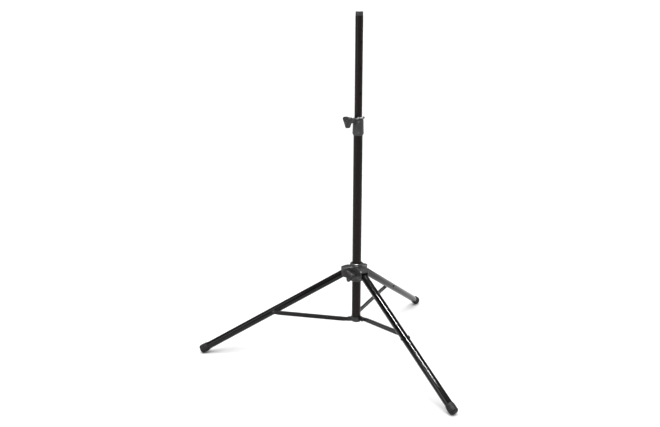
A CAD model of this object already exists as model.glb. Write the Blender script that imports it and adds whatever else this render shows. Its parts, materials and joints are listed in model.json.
import json
from math import atan2, cos, pi, radians, sin, sqrt

import bmesh
import bpy
from mathutils import Matrix, Vector


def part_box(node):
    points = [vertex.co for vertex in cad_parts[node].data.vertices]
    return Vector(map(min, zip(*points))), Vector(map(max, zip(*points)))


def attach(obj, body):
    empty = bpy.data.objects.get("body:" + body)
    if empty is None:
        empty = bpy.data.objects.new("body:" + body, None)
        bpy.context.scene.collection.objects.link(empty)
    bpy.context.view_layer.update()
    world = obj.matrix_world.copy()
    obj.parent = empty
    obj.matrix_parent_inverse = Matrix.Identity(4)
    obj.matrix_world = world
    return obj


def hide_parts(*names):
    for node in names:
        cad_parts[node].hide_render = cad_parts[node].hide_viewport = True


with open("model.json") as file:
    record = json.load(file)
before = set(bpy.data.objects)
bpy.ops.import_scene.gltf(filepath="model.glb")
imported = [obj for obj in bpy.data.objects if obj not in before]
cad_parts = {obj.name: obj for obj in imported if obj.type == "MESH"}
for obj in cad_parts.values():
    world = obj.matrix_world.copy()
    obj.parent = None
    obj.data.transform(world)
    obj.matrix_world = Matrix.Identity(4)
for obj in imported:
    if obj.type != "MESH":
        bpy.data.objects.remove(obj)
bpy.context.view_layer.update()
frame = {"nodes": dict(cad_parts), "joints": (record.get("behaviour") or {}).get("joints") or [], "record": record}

MM = 0.001
ARMS = ("front", "right", "left")
LEG_SLOPE = radians(29.5)
LEG_REACH = 799.5
JOINTS = {joint["name"]: joint for joint in frame["joints"]}
SLOT_OF = {part["node"]: part["material_slot"] for part in frame["record"]["subparts"]}


# ---------------------------------------------------------------- camera, floor and light
CAMERA_PLACE = (-2.050, -3.133, 1.6805)
CAMERA_HEADING = 58.73      # degrees from +X, seen from above
CAMERA_PITCH = -14.82
CAMERA_ROLL = 0.13
CAMERA_LENS = 45.6
FLOOR_HALF = 60
BACKDROP = 1.1
SKY_STOPS = [(0.0, 0.05), (0.35, 0.16), (1.0, 0.8)]     # sine of the elevation, brightness
SUN_POWER = 2.7
SUN_SPREAD = radians(64)
SUN_TILT = (radians(12), radians(-14), 0)
BOXES = {       # place, aim, size and power of each soft box
    "left_box": ((-3.4, -0.4, 1.9), (0, 0, 0.9), (0.7, 2.6), 30),
    "right_strip": ((2.9, -2.2, 2.2), (0, 0, 0.5), (0.25, 2.4), 30),
    "leg_strip": ((-0.47, -0.55, 3.16), (0, -0.45, 0.2), (1.6, 0.12), 300),
}
GLOSS_ONLY = ("leg_strip",)     # seen in the legs' gloss, adds nothing to the floor


def make_camera():
    data = bpy.data.cameras.new("camera")
    data.lens = CAMERA_LENS
    data.sensor_width = 36
    camera = bpy.data.objects.new("camera", data)
    bpy.context.collection.objects.link(camera)
    heading = Matrix.Rotation(radians(CAMERA_HEADING - 90), 4, "Z")
    pitch = Matrix.Rotation(radians(90 + CAMERA_PITCH), 4, "X")
    turn = heading @ pitch @ Matrix.Rotation(radians(CAMERA_ROLL), 4, "Z")
    camera.matrix_world = Matrix.Translation(CAMERA_PLACE) @ turn
    bpy.context.scene.camera = camera


def area_light(name, place, aim, size, power):
    data = bpy.data.lights.new(name, "AREA")
    data.shape = "RECTANGLE"
    data.size, data.size_y = size
    data.energy = power
    light = bpy.data.objects.new(name, data)
    bpy.context.collection.objects.link(light)
    light.location = place
    light.rotation_euler = (Vector(aim) - Vector(place)).to_track_quat("-Z", "Y").to_euler()
    light.visible_diffuse = name not in GLOSS_ONLY


def make_floor():
    mesh = bpy.data.meshes.new("floor")
    build = bmesh.new()
    bmesh.ops.create_grid(build, x_segments=1, y_segments=1, size=FLOOR_HALF)
    build.to_mesh(mesh)
    build.free()
    floor = bpy.data.objects.new("floor", mesh)
    bpy.context.collection.objects.link(floor)
    material = bpy.data.materials.new("studio_floor")
    material.use_nodes = True
    shader = material.node_tree.nodes["Principled BSDF"]
    shader.inputs["Base Color"].default_value = (0.92, 0.92, 0.92, 1)
    shader.inputs["Roughness"].default_value = 0.9
    shader.inputs["Specular IOR Level"].default_value = 0.1
    mesh.materials.append(material)


def make_world():
    """Even white behind the object, and a fill that is bright overhead and dim at the horizon."""
    world = bpy.data.worlds.new("studio")
    world.use_nodes = True
    nodes, links = world.node_tree.nodes, world.node_tree.links
    nodes.clear()
    path = nodes.new("ShaderNodeLightPath")
    seen = nodes.new("ShaderNodeBackground")
    seen.inputs["Color"].default_value = (1, 1, 1, 1)
    seen.inputs["Strength"].default_value = BACKDROP
    place = nodes.new("ShaderNodeTexCoord")
    split = nodes.new("ShaderNodeSeparateXYZ")
    links.new(place.outputs["Generated"], split.inputs["Vector"])
    fill = nodes.new("ShaderNodeBackground")
    links.new(ramp(nodes, links, split.outputs["Z"], SKY_STOPS), fill.inputs["Color"])
    mix = nodes.new("ShaderNodeMixShader")
    out = nodes.new("ShaderNodeOutputWorld")
    links.new(path.outputs["Is Camera Ray"], mix.inputs["Fac"])
    links.new(fill.outputs["Background"], mix.inputs[1])
    links.new(seen.outputs["Background"], mix.inputs[2])
    links.new(mix.outputs["Shader"], out.inputs["Surface"])
    bpy.context.scene.world = world


def make_lights():
    sun = bpy.data.lights.new("overhead", "SUN")
    sun.energy = SUN_POWER
    sun.angle = SUN_SPREAD
    overhead = bpy.data.objects.new("overhead", sun)
    bpy.context.collection.objects.link(overhead)
    overhead.rotation_euler = SUN_TILT
    overhead.visible_glossy = False
    for name, (place, aim, size, power) in BOXES.items():
        area_light(name, place, aim, size, power)
    bpy.context.scene.view_settings.view_transform = "Standard"


# ---------------------------------------------------------------- materials
def new_material(slot_name):
    material = bpy.data.materials.new(slot_name)
    material.use_nodes = True
    return material, material.node_tree.nodes, material.node_tree.links


def noise(nodes, links, place, size_mm, detail=3.0, stretch=None):
    """Noise in an object's own frame, with features of about one size; stretch scales it on each axis."""
    texture = nodes.new("ShaderNodeTexNoise")
    texture.inputs["Scale"].default_value = 1000.0 / size_mm
    texture.inputs["Detail"].default_value = detail
    if stretch:
        mapping = nodes.new("ShaderNodeMapping")
        mapping.inputs["Scale"].default_value = stretch
        links.new(place, mapping.inputs["Vector"])
        place = mapping.outputs["Vector"]
    links.new(place, texture.inputs["Vector"])
    return texture.outputs["Fac"]


def ramp(nodes, links, value, stops):
    """Colour ramp through (place, colour) stops; a plain number stands for a grey."""
    node = nodes.new("ShaderNodeValToRGB")
    node.color_ramp.elements[0].position = stops[0][0]
    node.color_ramp.elements[1].position = stops[-1][0]
    for place, _ in stops[1:-1]:
        node.color_ramp.elements.new(place)
    for element, (_, colour) in zip(node.color_ramp.elements, stops):
        element.color = (*colour, 1) if isinstance(colour, tuple) else (colour, colour, colour, 1)
    links.new(value, node.inputs["Fac"])
    return node.outputs["Color"]


def bump(nodes, links, shader, heights, depth_mm):
    """Stack of bumps on a shader, each (height output, strength)."""
    normal = None
    for height, strength in heights:
        node = nodes.new("ShaderNodeBump")
        node.inputs["Strength"].default_value = strength
        node.inputs["Distance"].default_value = depth_mm * MM
        links.new(height, node.inputs["Height"])
        if normal is not None:
            links.new(normal, node.inputs["Normal"])
        normal = node.outputs["Normal"]
    links.new(normal, shader.inputs["Normal"])


def finish_material(slot_name, dark, light, gloss, grain_mm, grain_depth, coat=0.0, metal=0.0,
                    patch_mm=60, wear=None, stretch=None, specular=0.5):
    """Surface whose colour wanders between two shades, with a fine grain in its roughness and relief, and
    pale rubbed specks where wear gives their (shade, amount)."""
    material, nodes, links = new_material(slot_name)
    shader = nodes["Principled BSDF"]
    place = nodes.new("ShaderNodeTexCoord").outputs["Object"]
    patches = noise(nodes, links, place, patch_mm, 4, stretch)
    grain = noise(nodes, links, place, grain_mm, 2, stretch)
    colour = ramp(nodes, links, patches, [(0.35, dark), (0.65, light)])
    if wear:
        worn_shade, amount = wear
        scuffs = noise(nodes, links, place, patch_mm / 7, 6)
        mask = ramp(nodes, links, scuffs, [(0.66, 0.0), (0.78, amount)])
        mix = nodes.new("ShaderNodeMix")
        mix.data_type = "RGBA"
        links.new(mask, mix.inputs["Factor"])
        links.new(colour, mix.inputs["A"])
        mix.inputs["B"].default_value = (*worn_shade, 1)
        colour = mix.outputs["Result"]
    links.new(colour, shader.inputs["Base Color"])
    low, high = gloss
    links.new(ramp(nodes, links, grain, [(0.3, low), (0.7, high)]), shader.inputs["Roughness"])
    shader.inputs["Metallic"].default_value = metal
    shader.inputs["Specular IOR Level"].default_value = specular
    shader.inputs["Coat Weight"].default_value = coat
    shader.inputs["Coat Roughness"].default_value = 0.08
    bump(nodes, links, shader, [(grain, 0.35), (patches, 0.1)], grain_depth)
    return material


def grey(value, warm=0.0):
    return (value * (1 + warm), value, value * (1 - warm))


MATERIALS = {
    "mast_paint": finish_material("mast_paint", (0.006, 0.0038, 0.0038), (0.0125, 0.0076, 0.0075),
                                  (0.24, 0.34), 0.9, 0.03, wear=((0.04, 0.026, 0.024), 0.25),
                                  specular=0.13, stretch=(1, 1, 0.04)),
    "leg_paint": finish_material("leg_paint", (0.0016, 0.0011, 0.0012), (0.0034, 0.0024, 0.0026),
                                 (0.07, 0.11), 1.3, 0.008, coat=0.16, wear=(grey(0.03), 0.12),
                                 specular=0.16),
    "brace_paint": finish_material("brace_paint", grey(0.006, 0.06), grey(0.012, 0.06), (0.3, 0.42), 0.8,
                                   0.04, wear=(grey(0.05), 0.3), specular=0.22),
    "moulded_plastic": finish_material("moulded_plastic", (0.013, 0.0122, 0.0128), (0.021, 0.0198, 0.0206),
                                       (0.3, 0.42), 0.7, 0.07, specular=0.45),
    "cover_plastic": finish_material("cover_plastic", (0.026, 0.025, 0.026), (0.04, 0.038, 0.0395),
                                     (0.26, 0.36), 0.7, 0.05),
    "knob_plastic": finish_material("knob_plastic", (0.009, 0.0078, 0.0082), (0.015, 0.0132, 0.0137),
                                    (0.3, 0.44), 0.8, 0.07, specular=0.35),
    "cap_plastic": finish_material("cap_plastic", grey(0.01), grey(0.016), (0.38, 0.5), 0.8, 0.08,
                                   specular=0.4),
    "nylon": finish_material("nylon", grey(0.014), grey(0.02), (0.42, 0.55), 1.2, 0.05, specular=0.4),
    "rubber": finish_material("rubber", grey(0.006), grey(0.011), (0.55, 0.75), 0.6, 0.1, patch_mm=25,
                              wear=(grey(0.05), 0.35), specular=0.25),
    "black_steel": finish_material("black_steel", grey(0.012), grey(0.022), (0.28, 0.4), 0.5, 0.04,
                                   metal=0.4),
    "bright_steel": finish_material("bright_steel", grey(0.62), grey(0.75), (0.18, 0.3), 0.4, 0.03,
                                    metal=1.0),
    "brass": finish_material("brass", (0.6, 0.42, 0.16), (0.72, 0.52, 0.24), (0.25, 0.35), 0.4, 0.03,
                             metal=1.0),
}


# ---------------------------------------------------------------- carried-over CAD nodes
BEVEL = 0.5
BEVEL_OF = {"hub_body": 1.2, "mast_collar": 0.7, "bottom_bracket": 1.5, "hub_ring": 0.8}
SHARP = radians(32)
FLAT = radians(0.6)
WELD = 0.01


def dress(node):
    """Gives a CAD node its material, rounded edges and smooth shading; its own mesh is left as it is."""
    piece = frame["nodes"][node]
    piece.data.materials.clear()
    piece.data.materials.append(MATERIALS[SLOT_OF[node]])
    weld = piece.modifiers.new("weld", "WELD")
    weld.merge_threshold = WELD * MM
    flat = piece.modifiers.new("flat", "DECIMATE")
    flat.decimate_type = "DISSOLVE"
    flat.angle_limit = FLAT
    edge = piece.modifiers.new("edge", "BEVEL")
    edge.width = BEVEL_OF.get(node, BEVEL) * MM
    edge.segments = 3
    edge.limit_method = "ANGLE"
    edge.angle_limit = SHARP
    edge.harden_normals = False
    for face in piece.data.polygons:
        face.use_smooth = True
    normals = piece.modifiers.new("normals", "WEIGHTED_NORMAL")
    normals.keep_sharp = False


# ---------------------------------------------------------------- mesh tools for new pieces
UP = Vector((0, 0, 1))


def joint_place(name):
    return Vector(JOINTS[name]["pos_m"])


def joint_axis(name):
    return Vector(JOINTS[name]["axis"]).normalized()


def basis(origin, along, up=UP):
    """Matrix whose +Z runs along one direction and whose +Y leans towards up."""
    z = Vector(along).normalized()
    x = Vector(up).cross(z).normalized()
    y = z.cross(x)
    return Matrix((
        (x.x, y.x, z.x, origin[0]),
        (x.y, y.y, z.y, origin[1]),
        (x.z, y.z, z.z, origin[2]),
        (0, 0, 0, 1),
    ))


def add_piece(name, build, place, body, slot_name, *replaced, finish=None):
    """Turns a bmesh into a named piece that rides on a CAD body and can stand for CAD nodes."""
    bmesh.ops.recalc_face_normals(build, faces=build.faces)
    mesh = bpy.data.meshes.new(name)
    build.to_mesh(mesh)
    build.free()
    mesh.materials.append(MATERIALS[finish or slot_name])
    mesh.shade_smooth()
    mesh.transform(place)
    piece = bpy.data.objects.new(name, mesh)
    bpy.context.collection.objects.link(piece)
    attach(piece, body)
    if replaced:
        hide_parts(*replaced)
    return piece


def skin(build, rings, closed=True):
    """Bridges rings of equally many vertices, in order; closed joins the last ring to the first."""
    count = len(rings[0])
    pairs = list(zip(rings, rings[1:]))
    if closed:
        pairs.append((rings[-1], rings[0]))
    for lower, upper in pairs:
        for i in range(count):
            k = (i + 1) % count
            build.faces.new((lower[i], lower[k], upper[k], upper[i]))


def lathe(profile, steps, wobble=None):
    """Closed surface of revolution about Z; profile is (radius, height) in metres, round the section.
    wobble(angle, radius, height) may change the radius, for ribs and flutes."""
    build = bmesh.new()
    rings = []
    for radius, height in profile:
        ring = []
        for step in range(steps):
            angle = 2 * pi * step / steps
            reach = wobble(angle, radius, height) if wobble else radius
            ring.append(build.verts.new((reach * cos(angle), reach * sin(angle), height)))
        rings.append(ring)
    skin(build, rings)
    return build


def rounded(points, reach, steps=4):
    """Section outline with each corner rounded by about one reach, kept to half of its shorter side."""
    outline = []
    count = len(points)
    for i, corner in enumerate(points):
        here = Vector(corner)
        before = Vector(points[i - 1]) - here
        after = Vector(points[(i + 1) % count]) - here
        cut = min(reach, before.length * 0.45, after.length * 0.45)
        a = here + before.normalized() * cut
        b = here + after.normalized() * cut
        for step in range(steps + 1):
            t = step / steps
            point = a * (1 - t) ** 2 + here * 2 * t * (1 - t) + b * t ** 2
            outline.append((point.x, point.y))
    return outline


def millimetres(points):
    return [(a * MM, b * MM) for a, b in points]


# ---------------------------------------------------------------- leg tubes
LEG_RADIUS = 17.5
TUBE_WALL = 1.5
LEG_NOSE = 10.0
LEG_TUBE_END = LEG_REACH - 6.0


def leg_down(arm):
    """Hinge of a leg, and the direction down the leg."""
    hinge = joint_place(f"{arm}_leg_hinge")
    outward = Vector((hinge.x, hinge.y, 0)).normalized()
    return hinge, outward * cos(LEG_SLOPE) - UP * sin(LEG_SLOPE)


def make_leg_pipe(arm):
    """Drawn steel tube with turned-over ends; the bolts fill its cross holes."""
    hinge, down = leg_down(arm)
    inner = LEG_RADIUS - TUBE_WALL
    section = [
        (LEG_RADIUS, -LEG_NOSE), (LEG_RADIUS, LEG_TUBE_END), (inner, LEG_TUBE_END), (inner, -LEG_NOSE),
    ]
    build = lathe(millimetres(rounded(section, 0.6, 3)), 96)
    add_piece(f"{arm}_leg_pipe", build, basis(hinge, down), f"{arm}_leg", "leg_paint", f"{arm}_leg_tube")


# ---------------------------------------------------------------- rubber feet
FOOT_RADIUS = 20.5
FOOT_LENGTH = 42.0
FOOT_BORE = 17.55
FOOT_LIP = FOOT_RADIUS - 1.4
FOOT_GROOVE = FOOT_RADIUS - 0.9
FOOT_FLOOR = 6.0            # rubber under the end of the tube
FOOT_ROUNDING = 1.0
FOOT_RIBS = 24
RIB_DEPTH = 0.55
RIB_SPAN = (15.5, 27.5)     # from the mouth
RIB_RAMPS = (15.4, 15.8, 27.2, 27.6)


def foot_rib(angle, radius, height):
    """Outer wall drawn in between the ribs, on the band between the grip grooves only."""
    start, end = RIB_SPAN
    inside = start * MM < height < end * MM and radius > (FOOT_RADIUS - 0.1) * MM
    return radius - (RIB_DEPTH * MM * max(0.0, cos(angle * FOOT_RIBS)) if inside else 0)


def make_foot(arm):
    """Rubber ferrule: thin lip, two grip grooves, vertical ribs between them and a domed sole."""
    hinge, down = leg_down(arm)
    mouth = hinge + down * (LEG_REACH - FOOT_LENGTH) * MM
    section = [
        (FOOT_BORE, 0), (FOOT_LIP, 0), (FOOT_LIP, 6.2), (FOOT_RADIUS, 7.0), (FOOT_RADIUS, 11.6),
        (FOOT_GROOVE, 12.3), (FOOT_GROOVE, 13.9), (FOOT_RADIUS, 14.6), (FOOT_RADIUS, 28.6),
        (FOOT_GROOVE, 29.3), (FOOT_GROOVE, 30.8), (FOOT_RADIUS, 31.5), (FOOT_RADIUS, FOOT_LENGTH - 8),
        (FOOT_RADIUS - 2.4, FOOT_LENGTH - 2.4), (FOOT_RADIUS - 8, FOOT_LENGTH), (2, FOOT_LENGTH - 0.6),
        (2, FOOT_LENGTH - FOOT_FLOOR), (FOOT_BORE, FOOT_LENGTH - FOOT_FLOOR),
    ]
    outline = rounded(section, FOOT_ROUNDING)
    on_wall = [point[0] > FOOT_RADIUS - 0.01 and point[1] > 20 for point in outline]
    after = on_wall.index(True)
    outline[after:after] = [(FOOT_RADIUS, height) for height in RIB_RAMPS]
    build = lathe(millimetres(outline), FOOT_RIBS * 8, foot_rib)
    add_piece(f"{arm}_foot_rubber", build, basis(mouth, down), f"{arm}_leg", "rubber", f"{arm}_foot_cap")


# ---------------------------------------------------------------- hand knobs
KNOB_LOBE = 9.0
KNOB_SPREAD = 21.5
KNOB_SCALLOP = 300.0        # nearly straight sides between the lobes
KNOB_STEPS = 216
KNOB_FLUTES = 54
FLUTE_DEPTH = 0.3
KNOB_FACE = [               # share of the outline, height above the knob's back
    (0.30, 2.2), (0.62, 0.3), (0.86, 0.0), (0.93, 0.5), (0.975, 1.6), (0.995, 3.2), (1.0, 5.5),
    (1.0, 10.0), (1.0, 14.0), (0.99, 16.6), (0.965, 18.6), (0.925, 19.7), (0.86, 20.1), (0.78, 20.3),
    (0.755, 20.2), (0.735, 19.2), (0.72, 18.8), (0.60, 18.8), (0.585, 19.2), (0.565, 20.0),
    (0.54, 20.2), (0.44, 20.3), (0.415, 20.1), (0.39, 18.8), (0.36, 17.6), (0.2, 17.4),
]
KNOBS = (                   # piece, body, joint, replaced node, turn, mast axis to the knob's back
    ("collar_hand_grip", "collar_hand_knob", "collar_knob_turn", "collar_knob", 0, 48),
    ("hub_hand_grip", "hub_hand_knob", "hub_knob_turn", "hub_knob", radians(-20), 54),
)


def knob_reach(angle):
    """Distance from the knob's middle to its outline, in millimetres; one lobe points down."""
    third = radians(120)
    off = abs((angle + pi / 2 + third / 2) % third - third / 2)
    half_side = KNOB_SPREAD * sin(radians(60))
    centre = KNOB_SPREAD / 2 + sqrt((KNOB_SCALLOP + KNOB_LOBE) ** 2 - half_side ** 2)
    share = KNOB_LOBE / (KNOB_LOBE + KNOB_SCALLOP)
    touch = Vector((half_side * (1 - share), KNOB_SPREAD / 2 + (centre - KNOB_SPREAD / 2) * share))
    turn = third / 2 - off
    if turn < atan2(touch.x, touch.y):
        return centre * cos(turn) - sqrt(KNOB_SCALLOP ** 2 - (centre * sin(turn)) ** 2)
    return KNOB_SPREAD * cos(off) + sqrt(KNOB_LOBE ** 2 - (KNOB_SPREAD * sin(off)) ** 2)


def make_knob(name, body, joint, node, turn, back):
    """Moulded three-lobed knob: crowned face, raised rib round a dished middle, grip flutes on the rim."""
    build = bmesh.new()
    rings = []
    for share, height in KNOB_FACE:
        ring = []
        for step in range(KNOB_STEPS):
            angle = 2 * pi * step / KNOB_STEPS
            reach = knob_reach(angle) * share
            if share > 0.985 and 5 < height < 15:
                reach -= FLUTE_DEPTH * max(0.0, cos(angle * KNOB_FLUTES))
            x, y = reach * cos(angle), reach * sin(angle)
            ring.append(build.verts.new((x * MM, y * MM, height * MM)))
        rings.append(ring)
    skin(build, rings, closed=False)
    build.faces.new(list(reversed(rings[0])))
    build.faces.new(rings[-1])
    middle = joint_place(joint)
    out = Vector((middle.x, middle.y, 0)).normalized()
    place = basis(out * back * MM + UP * middle.z, out) @ Matrix.Rotation(turn, 4, "Z")
    add_piece(name, build, place, body, "knob_plastic", node)


# ---------------------------------------------------------------- hub cover
HUB_REACH = 73.0
HUB_HALF = 24.0
HUB_BORE = 24.0
HUB_STEPS = 360
HUB_VALLEY = 16.0           # radius of the hollows between the three arms
HUB_CORNER = 9.0
COVER_MOUTH = HUB_BORE + 0.3
COVER_WALL = 6.0
COVER_EDGE = 9.0            # height of the crowned top at its rim
CROWN_START = 31.0
CROWN_DROP = 8.2
CROWN_POWER = 2.2
CROWN_RINGS = 12
ROLLED_EDGE = ((0.0, 1.4), (0.35, 0.75), (1.1, 0.25), (2.2, 0.0))       # inset, drop
RING_MOUTH = HUB_BORE + 0.2
RING_GROOVE = 0.9
RING_CHAMFER = 3.6
RING_FLUTES = 60
RING_FLUTE_DEPTH = 0.35


def hub_reach(angle, inset):
    """Distance from the mast's axis to the hub's plan outline drawn in by an inset, in millimetres."""
    third = radians(120)
    off = abs((angle + pi / 2 + third / 2) % third - third / 2)
    half, end = HUB_HALF - inset, HUB_REACH - inset
    valley = HUB_VALLEY + inset
    corner = max(HUB_CORNER - inset, 2.0)
    centre = (half + valley) / sin(radians(60))
    if off > atan2(half, centre * cos(radians(60))):
        turn = radians(60) - off
        return centre * cos(turn) - sqrt(valley ** 2 - (centre * sin(turn)) ** 2)
    turn_from = atan2(half - corner, end)
    turn_to = atan2(half, end - corner)
    if off < turn_from:
        return end / cos(off)
    if off > turn_to:
        return half / sin(off)
    x, y = end - corner, half - corner
    along = x * cos(off) + y * sin(off)
    across = x * sin(off) - y * cos(off)
    return along + sqrt(corner ** 2 - across ** 2)


def polar_ring(build, reach, height):
    """Ring of vertices with reach(angle) from the mast's axis, each at height(its reach)."""
    ring = []
    for step in range(HUB_STEPS):
        angle = 2 * pi * step / HUB_STEPS
        radius = reach(angle)
        x, y = radius * cos(angle), radius * sin(angle)
        ring.append(build.verts.new((x * MM, y * MM, height(radius) * MM)))
    return ring


def rim(inset):
    return lambda angle: hub_reach(angle, inset)


def level(height):
    return lambda radius: height


def make_hub_cover():
    """Crowned three-armed cover with a rolled edge and a fine step round it, hollow below for the legs."""
    low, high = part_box("hub_cover")
    foot, top = low.z / MM, high.z / MM
    edge = top - COVER_EDGE
    last_inset = ROLLED_EDGE[-1][0]

    def crown(radius):
        share = max(0.0, (radius - CROWN_START) / (HUB_REACH - CROWN_START))
        return top - CROWN_DROP * share ** CROWN_POWER

    def lowered(drop):
        return lambda radius: crown(radius) - drop

    def towards_mouth(share):
        return lambda angle: COVER_MOUTH + share * (hub_reach(angle, last_inset) - COVER_MOUTH)

    skirt = [
        (COVER_WALL, foot), (0.9, foot), (0.25, foot + 0.3), (0.0, foot + 1.0), (0.0, foot + 3.0),
        (0.0, edge - 3.2), (0.7, edge - 2.8), (0.7, edge - 2.2), (0.0, edge - 1.8),
    ]
    build = bmesh.new()
    rings = [polar_ring(build, rim(inset), level(height)) for inset, height in skirt]
    rings += [polar_ring(build, rim(inset), lowered(drop)) for inset, drop in ROLLED_EDGE]
    for step in range(1, CROWN_RINGS + 1):
        rings.append(polar_ring(build, towards_mouth(1 - step / CROWN_RINGS), crown))
    rings.append(polar_ring(build, level(COVER_MOUTH), level(top - 4.5)))
    inner = rim(COVER_WALL)
    rings.append(polar_ring(build, lambda angle: max(inner(angle), HUB_BORE + 1), level(top - 5.5)))
    skin(build, rings)
    add_piece("hub_cover_shell", build, Matrix.Identity(4), "hub", "moulded_plastic", "hub_cover",
              finish="cover_plastic")


def make_hub_ring():
    """Collar ring on the cover: chamfered lip, a groove and fine vertical flutes below it."""
    low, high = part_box("hub_ring")
    foot, top, outer = low.z / MM, high.z / MM, high.x / MM
    section = [
        (RING_MOUTH, foot), (outer, foot), (outer, foot + 5.6), (outer - RING_GROOVE, foot + 6.3),
        (outer - RING_GROOVE, foot + 7.9), (outer, foot + 8.6), (outer, top - RING_CHAMFER),
        (outer - RING_CHAMFER, top), (RING_MOUTH, top),
    ]

    def flute(angle, radius, height):
        low_band = radius > (outer - 0.2) * MM and (foot + 1.2) * MM < height < (foot + 5.4) * MM
        return radius - (RING_FLUTE_DEPTH * MM * max(0.0, cos(angle * RING_FLUTES)) if low_band else 0)

    build = lathe(millimetres(rounded(section, 0.9)), 480, flute)
    add_piece("hub_ring_lip", build, Matrix.Identity(4), "hub", "moulded_plastic", "hub_ring",
              finish="cover_plastic")


# ---------------------------------------------------------------- collar details
COLLAR_TAPER = ((1065.0, 26.0), (1123.0, 24.5))     # height, radius
BADGE_AZIMUTH = radians(-121.0)
BADGE_HEIGHT = 1090.0
BADGE_PROUD = 1.0
BADGE_BEADS = (             # piece, half width, half height, thickness
    ("badge_outer_bead", 14.4, 18.4, 0.75),
    ("badge_inner_bead", 10.5, 14.2, 0.55),
)
BEAD_STEPS = 96
BEAD_SIDES = 10
COLLAR_BANDS = (("collar_band_low", 1067.5), ("collar_band_high", 1117.5))
BAND_PROUD = 0.75


def collar_radius(height):
    (low, wide), (high, narrow) = COLLAR_TAPER
    return wide + (narrow - wide) * (height - low) / (high - low)


def badge_point(across, up):
    """Point of the badge, in millimetres, on the collar's tapered wall."""
    height = BADGE_HEIGHT + up
    radius = collar_radius(height)
    azimuth = BADGE_AZIMUTH + across / radius
    reach = radius + BADGE_PROUD
    return Vector((reach * cos(azimuth), reach * sin(azimuth), height))


def make_badge_bead(name, half_width, half_height, thick):
    """Raised oval bead that follows the collar's taper."""
    build = bmesh.new()
    rings = []
    for step in range(BEAD_STEPS):
        turn = 2 * pi * step / BEAD_STEPS
        middle = badge_point(half_width * cos(turn), half_height * sin(turn))
        ahead = badge_point(half_width * cos(turn + 0.01), half_height * sin(turn + 0.01))
        along = (ahead - middle).normalized()
        out = Vector((middle.x, middle.y, 0)).normalized()
        side = along.cross(out).normalized()
        ring = []
        for k in range(BEAD_SIDES):
            roll = 2 * pi * k / BEAD_SIDES
            ring.append(build.verts.new((middle + (out * sin(roll) + side * cos(roll)) * thick) * MM))
        rings.append(ring)
    skin(build, rings)
    add_piece(name, build, Matrix.Identity(4), "mast_base", "moulded_plastic")


def make_collar_band(name, height):
    """Raised band round the collar."""
    radius = collar_radius(height)
    inner, outer = radius - 0.6, radius + BAND_PROUD
    section = [(inner, -1.6), (outer, -1.3), (outer, 1.3), (inner, 1.6)]
    outline = [(r, z + height) for r, z in rounded(section, 0.8)]
    build = lathe(millimetres(outline), 160)
    add_piece(name, build, Matrix.Identity(4), "mast_base", "moulded_plastic")


# ---------------------------------------------------------------- washers under the hinge bolts
WASHER_SECTION = [(6.9, 0), (9.0, 0), (9.0, 0.5), (7.4, 1.3), (6.9, 1.3)]


def make_washers(arm):
    """Domed washers between the hub's cheeks and the hinge bolt's head and nut."""
    hinge = joint_place(f"{arm}_leg_hinge")
    axis = joint_axis(f"{arm}_leg_hinge")
    for side, word in ((1, "head"), (-1, "nut")):
        build = lathe(millimetres(rounded(WASHER_SECTION, 0.3, 2)), 48)
        place = basis(hinge + axis * side * HUB_HALF * MM, axis * side)
        add_piece(f"{arm}_{word}_washer", build, place, "hub", "black_steel")


# ---------------------------------------------------------------- scene
make_camera()
make_floor()
make_world()
make_lights()
for name in frame["nodes"]:
    dress(name)
for arm in ARMS:
    make_leg_pipe(arm)
    make_foot(arm)
    make_washers(arm)
for knob in KNOBS:
    make_knob(*knob)
make_hub_cover()
make_hub_ring()
for bead in BADGE_BEADS:
    make_badge_bead(*bead)
for band in COLLAR_BANDS:
    make_collar_band(*band)
